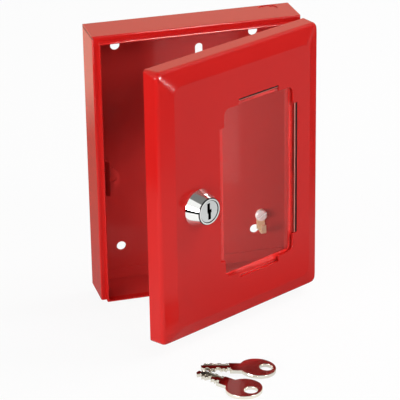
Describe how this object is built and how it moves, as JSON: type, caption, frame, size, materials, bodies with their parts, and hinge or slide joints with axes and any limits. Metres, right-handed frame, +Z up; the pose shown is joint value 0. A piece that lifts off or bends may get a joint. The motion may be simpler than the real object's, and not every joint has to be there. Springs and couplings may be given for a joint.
{
  "type": "break glass key box",
  "caption": "Red sheet-steel wall box for an emergency key, with a hinged door, a clear break-out pane, a cam lock and its keys.",
  "frame": {"origin": "centre of the fixing holes, on the back face that lies on the wall", "axes": "+Z up, +Y into the wall, so the front faces -Y, and +X to the hinge side (the viewer's right)"},
  "size_m": [0.125, 0.154, 0.1655],
  "materials": {
    "red_paint": "gloss powder coat with fine orange peel, signal red",
    "clear_pane": "clear flat pane, polished",
    "chrome": "bright chrome on zinc casting",
    "zinc_plate": "bright zinc-plated steel",
    "brass": "brass-plated strip",
    "nickel": "bright nickel-plated brass",
    "spring_steel": "drawn spring wire"
  },
  "bodies": {
    "case": {"case_shell": "red_paint", "bottom_panel": "red_paint", "catch_bracket": "red_paint", "key_hook": "brass", "key_hook_screw": "zinc_plate", "case_hinge_leaf": "red_paint", "hinge_pin": "zinc_plate"},
    "door": {"door_shell": "red_paint", "break_pane": "clear_pane", "pane_retainer": "red_paint", "door_hinge_leaf": "red_paint", "lock_housing": "chrome", "lock_washer": "zinc_plate", "lock_nut": "zinc_plate"},
    "lock_core": {"lock_plug": "chrome", "wafer_springs": "spring_steel", "cam": "zinc_plate", "cam_washer": "zinc_plate", "cam_screw": "zinc_plate"},
    "wafers": {"lock_wafers": "brass"},
    "first_key": {"key_1": "nickel"},
    "second_key": {"key_2": "nickel"}
  },
  "joints": [
    {"name": "door_hinge", "type": "hinge", "parent": "case", "child": "door", "pos_m": [0.062, -0.028, -0.003], "axis": [0, 0, 1], "range_deg": [-26.75, 143.25]},
    {"name": "lock_turn", "type": "hinge", "parent": "door", "child": "lock_core", "pos_m": [-0.02211, -0.07264, -0.0054], "axis": [-0.4501, 0.893, 0], "range_deg": [0, 90]},
    {"name": "wafer_travel", "type": "slide", "parent": "lock_core", "child": "wafers", "axis": [0, 0, 1], "range_m": [0, 0.0008]},
    {"name": "key_1_lift", "type": "slide", "parent": "case", "child": "first_key", "axis": [0, 0, 1], "range_m": [0, 0.12]},
    {"name": "key_2_pull", "type": "slide", "parent": "case", "child": "second_key", "axis": [0.6018, -0.7986, 0], "range_m": [0, 0.06]}
  ]
}
